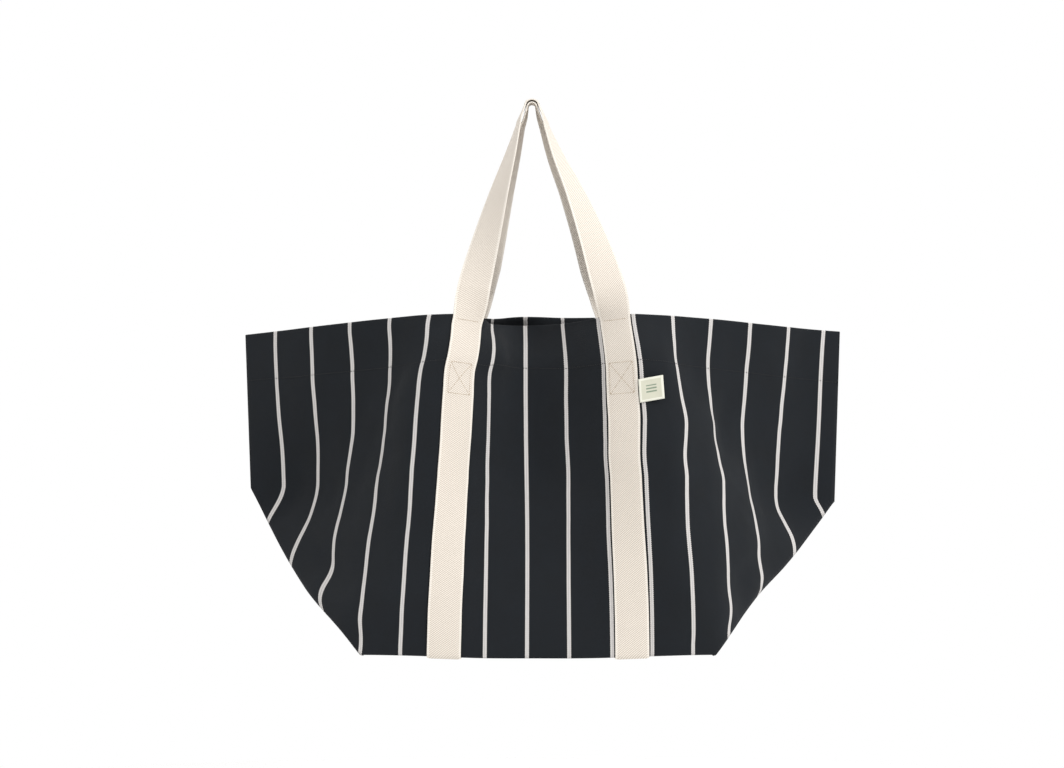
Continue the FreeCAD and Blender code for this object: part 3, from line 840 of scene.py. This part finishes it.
# %% Canvas
def canvas_finish():
    f = Finish("striped_canvas", rough=0.9, sheen=0.04)
    u, v = f.pattern()
    offset = (u - (STRIPE_FIRST - STRIPE_PITCH / 2)).math("FLOORED_MODULO", STRIPE_PITCH)
    offset = offset - STRIPE_PITCH / 2
    teeth = (v.wave(0.0024) - 0.5) * 0.0005
    distance = offset.math("ABSOLUTE")
    light = (distance + teeth).within(-1.0, 0.00225, 0.0003)
    line = distance.within(-1.0, 0.00022, 0.0003)
    edge = distance.within(0.0024, 0.0030, 0.0003)
    twill = (u + v).wave(0.00105)
    cross = (u - v * 2.1).wave(0.0016)
    wear = f.noise(0.022, 4.0)
    blotch = f.noise(0.11, 2.0)
    fibre = f.noise(0.0011, 2.0)
    ground = f.mix(wear * 0.65 + twill * 0.2 + fibre * 0.25 - 0.08, srgb(5, 8, 12), srgb(21, 26, 32))
    ground = f.mix(blotch.math("POWER", 3.0) * 0.5, ground, srgb(30, 34, 39))
    pale = f.mix(cross * 0.35 + fibre * 0.4, srgb(214, 210, 207), srgb(158, 155, 153))
    pale = f.mix(line * 0.55, pale, srgb(96, 96, 99))
    dark = f.mix(edge * 0.8, ground, srgb(14, 15, 18))
    f.colour(f.mix(light, dark, pale))
    f.rough(0.84 + wear * 0.12)
    f.relief(twill * 0.5 + cross * 0.25 + fibre * 0.3 + light * 0.5, 0.0002)
    return f.material


canvas = canvas_finish()
print(canvas.name)

# %% [markdown]
# ## Cotton webbing
# Webbing is a heavy herringbone of soft yarn. Its ribs run diagonally, and both edges have a brighter,
# knotty selvedge. The colour is a warm off-white that picks up a little grey in use. The shade of the
# weave is painted into the colour: darker in the hollows between the ribs and between the knots,
# lighter on the raised yarn.

# %% Webbing
def webbing_finish():
    f = Finish("cotton_webbing", rough=0.88, sheen=0.15)
    u, v = f.pattern()
    ribs = (u * 0.75 + v).wave(0.0025)
    side = (u - WEB_WIDTH / 2).math("ABSOLUTE")
    selvedge = side.within(WEB_WIDTH / 2 - 0.0024, 1.0, 0.0006)
    knots = v.wave(0.0019)
    fibre = f.noise(0.0008, 2.0)
    wear = f.noise(0.03, 3.0)
    # painted shade: the ribs' colour goes from dark in their hollows to light on their tops
    body = f.mix(ribs * 0.8 + fibre * 0.15, srgb(170, 159, 145), srgb(242, 234, 224))
    body = f.mix(wear * 0.3, body, srgb(218, 208, 195))
    # painted shade: the selvedge is darker between its knots and lighter on them
    border = f.mix(knots * 0.6, srgb(214, 205, 193), srgb(248, 243, 235))
    f.colour(f.mix(selvedge, body, border))
    high = ribs * 0.8 + fibre * 0.12
    f.relief(high * (1 - selvedge) + (knots * 0.9 + 0.3) * selvedge, 0.00035)
    return f.material


webbing = webbing_finish()
print(webbing.name)


# %% Threads and tape
def thread_finish(name, deep, bright):
    f = Finish(name, rough=0.7, sheen=0.1)
    twist = f.noise(0.0009, 2.0)
    f.colour(f.mix(twist, srgb(*deep), srgb(*bright)))
    f.relief(twist, 0.0001)
    return f.material


pale_thread = thread_finish("pale_thread", (152, 136, 118), (200, 184, 164))
dark_thread = thread_finish("dark_thread", (3, 3, 5), (12, 12, 15))
tape = thread_finish("seam_tape", (26, 28, 33), (54, 57, 63))
print(pale_thread.name, dark_thread.name, tape.name)

# %% [markdown]
# ## Stitches
# Seams show as rows of separate stitches, each a short grain of thread half sunk in the cloth. One
# stitch is modelled as a small ball that is pulled long and flattened, and copied along every line. The
# straps have a row at the rim, a row at the hem and a crossed box below it, in pale thread. The hem has
# one long row in dark thread.

# %% One stitch
deselect()
bpy.ops.mesh.primitive_uv_sphere_add(segments=6, ring_count=4, radius=0.0005, location=(0, 0, 0))
stitch = bpy.context.active_object
in_edit_mode(stitch, bpy.ops.transform.resize, value=(2.4, 1.0, 0.7))
STITCH_POINTS = np.array([v.co for v in stitch.data.vertices])
STITCH_FACES = [tuple(p.vertices) for p in stitch.data.polygons]
bpy.data.objects.remove(stitch)
STITCH_PITCH = 0.0031
print("one stitch has", len(STITCH_FACES), "faces")


# %% Rows of stitches on the pattern
def lifted(u, v, lift):
    """A place above the front cloth and the outward direction there."""
    step = 0.003
    place = on_cloth(u, v)
    right = on_cloth(u + step, v) - on_cloth(u - step, v)
    down = on_cloth(u, v + step) - on_cloth(u, max(v - step, 0))
    out = np.cross(down, right)
    out /= np.linalg.norm(out)
    return place + out * lift, out


def stitch_row(start, end, lift):
    """Centre, direction, outside and flat u of each stitch between two places of the pattern."""
    start, end = np.array(start), np.array(end)
    count = max(2, int(round(np.linalg.norm(end - start) / STITCH_PITCH)))
    found = []
    for k in range(count):
        flat = [start + (end - start) * (k + d) / count for d in (0.25, 0.5, 0.75)]
        (before, _), (centre, out), (after, _) = (lifted(*place, lift) for place in flat)
        along = after - before
        found.append((centre, along / np.linalg.norm(along), out, flat[1][0]))
    return found


def sew(name, rows, side, finish):
    """All stitches of some rows as one piece, on the front (side -1) or the back (side 1)."""
    points, faces, follow = [], [], []
    for centre, along, out, u in rows:
        cross = np.cross(out, along)
        faces += [tuple(i + len(points) for i in f) for f in STITCH_FACES]
        points += list(centre + STITCH_POINTS @ np.array([along, cross, out]))
        follow += [1 - float(np.clip((abs(u) - HALF_LENGTH) / HALF_DEPTH, 0, 1))] * len(STITCH_POINTS)
    points = np.array(points)
    if side > 0:
        points = points * MIRROR
        faces = [f[::-1] for f in faces]
    piece = new_mesh_object(name, points, faces, None, follow)
    piece.data.materials.append(finish)
    print(name, len(rows), "stitches")
    return piece


# %% Where the rows run
RIM_LINE, BOX_TOP, BOX_LOW = 0.0050, 0.0590, 0.0960
BOX_HALF = 0.0155
ON_WEB = WEB_GAP + WEB
strap_rows, hem_line = [], []
for centre in STRAP_U.values():
    left, right = centre - BOX_HALF, centre + BOX_HALF
    for v in (RIM_LINE, BOX_TOP, BOX_LOW):
        strap_rows += stitch_row((left, v), (right, v), ON_WEB)
    for top, low in ((left, left), (right, right), (left, right), (right, left)):
        strap_rows += stitch_row((top, BOX_TOP), (low, BOX_LOW), ON_WEB)
HEM_LINE = HEM - 0.002
BESIDE = WEB_WIDTH / 2 + 0.001
ends = [-SEAM_U + 0.002, STRAP_U["left"] - BESIDE, STRAP_U["left"] + BESIDE,
        STRAP_U["right"] - BESIDE, STRAP_U["right"] + BESIDE, SEAM_U - 0.002]
for a, b in zip(ends[::2], ends[1::2]):
    hem_line += stitch_row((a, HEM_LINE), (b, HEM_LINE), 0.0001)
print(len(strap_rows), "strap stitches,", len(hem_line), "hem stitches on each face")

# %% Sewing both faces
thread = {(where, kind): sew(f"{where}_{kind}_thread", rows, side, finish)
          for where, side in (("front", -1), ("back", 1))
          for kind, rows, finish in (("strap", strap_rows, pale_thread), ("hem", hem_line, dark_thread))}

# %% [markdown]
# ## Bound seams
# Inside, the raw edges of the side seams and of the base corners are wrapped in a narrow tape. It is a
# flat band like the webbing but thinner, so the same sweep makes it, standing up from the seam.

# %% Seam tape
TAPE_WIDTH, TAPE_THICK = 0.009, 0.0020


def tape_band(name, line, reach, outside):
    """A tape along a line, as wide as `reach` says, with its flat side facing `outside`."""
    line, reach = np.array(line), np.array(reach)
    out = np.tile(np.array(outside, float), (len(line), 1)) * TAPE_THICK / 2
    near, far = line, line + reach
    ring = np.stack([near - out, far - out, far + out, near + out], 1).reshape(-1, 3)
    quads = [(r * 4 + k, r * 4 + (k + 1) % 4, r * 4 + 4 + (k + 1) % 4, r * 4 + 4 + k)
             for r in range(len(line) - 1) for k in range(4)]
    quads += [(3, 2, 1, 0), tuple(len(line) * 4 - 4 + k for k in range(4))]
    piece = new_mesh_object(name, ring, quads)
    in_edit_mode(piece, bpy.ops.mesh.normals_make_consistent, inside=False)
    use_modifier(piece, "BEVEL", width=0.0005, segments=2, limit_method="ANGLE")
    piece.data.materials.append(tape)
    print(name, len(piece.data.polygons), "faces")
    return piece


# %% Tapes at the side seams, the tucks and the base corners
UP = (0, 0, TAPE_WIDTH)
TAPE_IN = 0.0065             # the seam's cloth between the edge and its tape


def between(start, end, low, high, shift):
    """Places along a straight seam, from one share of it to another, moved by a small shift."""
    share = np.linspace(low, high, 24)[:, None]
    return start * (1 - share) + end * share + np.array(shift)


tapes = {}
for hand, side in (("left", -1), ("right", 1)):
    edge = 0 if side < 0 else -1
    seam = front_face[int(np.argmax(VS > HEM + 0.004)):KNEE_ROW + 1, edge] * ON_SEAM
    line = seam + np.array([-side * TAPE_IN, 0, 0])
    tapes["side", hand] = tape_band(f"side_seam_{hand}_tape", line,
                                    [(-side * TAPE_WIDTH, 0, 0)] * len(line), (0, 1, 0))
    end = front_face[-1, edge]
    knee = front_face[KNEE_ROW, edge]
    fold = between(knee * ON_SEAM, end * ON_SEAM, 0.04, 0.97, (-side * 0.002, 0, 0.0006))
    tapes["tuck", hand] = tape_band(f"tuck_seam_{hand}_tape", fold, [UP] * len(fold), (0, 1, 0))
    slope = between(front_face[-1, MIDDLE + side * CORNER], end, 0.1, 0.96, (-side * 0.001, 0, 0.0032))
    for where, turn in (("front", 1), ("back", -1)):
        tapes[where, hand] = tape_band(f"base_seam_{where}_{hand}_tape", slope * np.array([1, turn, 1]),
                                       [UP] * len(slope), (1, 0, 0))

# %% [markdown]
# ## The woven label
# A small woven label is caught under the edge of the right strap. It is a flat piece of tape with its
# edges folded under, which makes a brighter raised border. Three plain bars are woven into it, in place
# of any mark.

# %% Label
tag_low, tag_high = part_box("woven_label")
lean = math.tan(math.radians(10))
tag_width, tag_height = tag_high.x - tag_low.x - 0.002, tag_high.z - tag_low.z - 0.0052
tag_front = min(on_cloth(STRAP_U["right"] + BESIDE + a, HEM + 0.004 + b)[1]
                for a in (0, 0.01, 0.02, 0.03) for b in (0, 0.015, 0.03))
tag_y = min(tag_low.y, tag_front - 0.0009)          # in front of the cloth behind it
deselect()
bpy.ops.mesh.primitive_grid_add(x_subdivisions=15, y_subdivisions=14, size=1, location=(0, 0, 0))
tag = bpy.context.active_object
tag.name = "woven_label_cloth"
in_edit_mode(tag, bpy.ops.transform.resize, value=(tag_width, tag_height, 1))
layer = tag.data.uv_layers.new(name="Pattern")
for loop in tag.data.loops:
    layer.data[loop.index].uv = tag.data.vertices[loop.vertex_index].co.xy
for vertex in tag.data.vertices:
    across, up = vertex.co.x / tag_width + 0.5, vertex.co.y
    border = max(abs(vertex.co.x) / tag_width, abs(up) / tag_height) > 0.42
    curl = 0.0006 * across * across + 0.0002 * math.sin(across * 9 + up * 200)
    vertex.co = (tag_low.x + 0.001 + across * tag_width - up * 0.069, tag_y - curl - 0.00025 * border,
                 (tag_low.z + tag_high.z) / 2 + up + (across - 0.5) * tag_width * lean)
use_modifier(tag, "SOLIDIFY", thickness=0.0006, offset=-1.0)
tag.data.shade_smooth()


# %% Finish of the label
def label_finish():
    f = Finish("woven_label", rough=0.75, sheen=0.1)
    u, v = f.pattern()
    weave = (u.wave(0.0007) + v.wave(0.0007)) * 0.5
    edge = (u.math("ABSOLUTE") / tag_width).math("MAXIMUM", v.math("ABSOLUTE") / tag_height)
    border = edge.within(0.405, 1.0, 0.01)
    bars = v.within(-0.0052, 0.0052, 0.0003) * (v + 0.00095).wave(0.0038).within(0.55, 2.0, 0.1)
    bars = bars * u.within(-0.0062, 0.0062, 0.0003)
    ground = f.mix(weave, srgb(184, 183, 165), srgb(206, 205, 188))
    ground = f.mix(border * 0.7, ground, srgb(226, 225, 213))
    f.colour(f.mix(bars * 0.8, ground, srgb(96, 118, 98)))
    f.relief(weave * 0.5 + border * 0.5, 0.00012)
    return f.material


tag.data.materials.append(label_finish())
print("label", round(1000 * tag_width), "x", round(1000 * tag_height), "mm at y", round(tag_y, 4))

# %% [markdown]
# ## Bodies
# Some pieces ride on bodies. For the front's cloth and straps, how far each place goes with the front,
# all of it near the straps and none of it at the side seams, was stored as `follow`. The mesh is laid out
# along that number for a moment, put back in its shape, and the number is removed.

# %% Riding, and laying out along `follow`
def bend_by_follow(obj):
    """Lays the vertices out along `follow` for a moment, removes that number and puts them back."""
    mesh = obj.data
    count = len(mesh.vertices)
    shape = np.empty(count * 3, np.float32)
    mesh.vertices.foreach_get("co", shape)
    share = np.empty(count, np.float32)
    mesh.attributes["follow"].data.foreach_get("value", share)
    mesh.attributes.remove(mesh.attributes["follow"])
    line = np.zeros((count, 3), np.float32)
    line[:, 0] = share
    mesh.vertices.foreach_set("co", line.ravel())
    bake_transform(obj)
    mesh.vertices.foreach_set("co", shape)
    mesh.update()


def drop_follow(obj):
    if "follow" in obj.data.attributes:
        obj.data.attributes.remove(obj.data.attributes["follow"])


# %% Materials and bodies
for obj in (front_cloth, back_cloth):
    obj.data.materials.append(canvas)
for obj in (*straps.values(), front_loop, back_loop):
    obj.data.materials.append(webbing)

bend_by_follow(front_cloth)
bend_by_follow(straps["front", "left"])
bend_by_follow(straps["front", "right"])
for obj in (back_cloth, straps["back", "left"], straps["back", "right"]):
    drop_follow(obj)
    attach(obj, "base")
bend_by_follow(thread["front", "hem"])
drop_follow(thread["front", "strap"])
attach(thread["front", "strap"], "front")
for obj in (thread["back", "hem"], thread["back", "strap"]):
    drop_follow(obj)
    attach(obj, "base")
for obj in tapes.values():
    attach(obj, "base")
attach(tag, "label")
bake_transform(front_loop)
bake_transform(back_loop)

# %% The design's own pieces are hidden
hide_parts("front_panel", "front_hem", "side_tuck_right", "side_tuck_left", "base_panel")
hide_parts("back_panel", "back_hem", "side_right", "side_left",
            "side_hem_right", "side_hem_left")
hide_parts("front_strap_left", "base_strap_left")
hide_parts("front_strap_right", "base_strap_right")
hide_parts("back_strap_left")
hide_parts("back_strap_right")
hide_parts("front_strap_stitches")
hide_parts("front_hem_stitches")
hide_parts("back_strap_stitches")
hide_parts("back_hem_stitches")
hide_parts("side_seam_left")
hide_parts("side_seam_right")
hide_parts("base_seam_left")
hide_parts("base_seam_right")
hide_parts("woven_label")
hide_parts("front_handle")
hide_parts("back_handle")

# %% [markdown]
# ## Floor, light and camera
# The bag hangs from a hook in the real world, so here it simply floats above a plain pale floor. A large
# soft light from the upper right models the folds, and a weaker one on the left keeps the navy readable.

# %% Floor
deselect()
bpy.ops.mesh.primitive_circle_add(vertices=96, radius=2.2, fill_type="NGON", location=(0, 0, 0))
floor = bpy.context.active_object
floor.name = "floor"
in_edit_mode(floor, bpy.ops.transform.translate, value=(0, 0, -1.05))
pale_floor = Finish("pale_floor", rough=0.8)
pale_floor.colour(pale_floor.mix(pale_floor.noise(0.4, 2.0), srgb(232, 232, 231), srgb(240, 240, 239)))
floor.data.materials.append(pale_floor.material)
print("floor at", floor.data.vertices[0].co.z)

# %% Lights and world
def soft_light(name, place, aim, size, power):
    data = bpy.data.lights.new(name, "AREA")
    data.shape, data.size, data.energy = "DISK", size, power
    lamp = bpy.data.objects.new(name, data)
    bpy.context.collection.objects.link(lamp)
    lamp.location = place
    lamp.rotation_euler = (Vector(aim) - Vector(place)).to_track_quat("-Z", "Y").to_euler()
    return lamp


lamps = [soft_light("key", (2.5, -2.0, 1.4), (0, 0, -0.35), 1.4, 66),
         soft_light("fill", (-2.4, -2.4, 0.4), (0, 0, -0.4), 2.2, 5),
         soft_light("top", (0.2, 0.6, 2.2), (0, 0, -0.3), 1.6, 22)]
world = bpy.data.worlds.new("studio")
world.use_nodes = True
world.node_tree.nodes["Background"].inputs["Color"].default_value = (1.0, 1.0, 1.0, 1.0)
world.node_tree.nodes["Background"].inputs["Strength"].default_value = 1.0
bpy.context.scene.world = world
bpy.context.scene.view_settings.view_transform = "Standard"
print(len(lamps), "lights")

# %% Camera
camera_data = bpy.data.cameras.new("camera")
camera_data.lens = 110.5
camera_data.sensor_width = 36.0
camera = bpy.data.objects.new("camera", camera_data)
bpy.context.collection.objects.link(camera)
camera.location = (0.0, -4.0, -0.341)
camera.rotation_euler = (math.radians(90), 0.0, 0.0)
bpy.context.scene.camera = camera
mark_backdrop(floor, *lamps)
print("camera at", tuple(round(c, 2) for c in camera.location))

# %% Size of what was built, printed
low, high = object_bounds()
print("built box", [round(v, 3) for v in (*low, *high)])
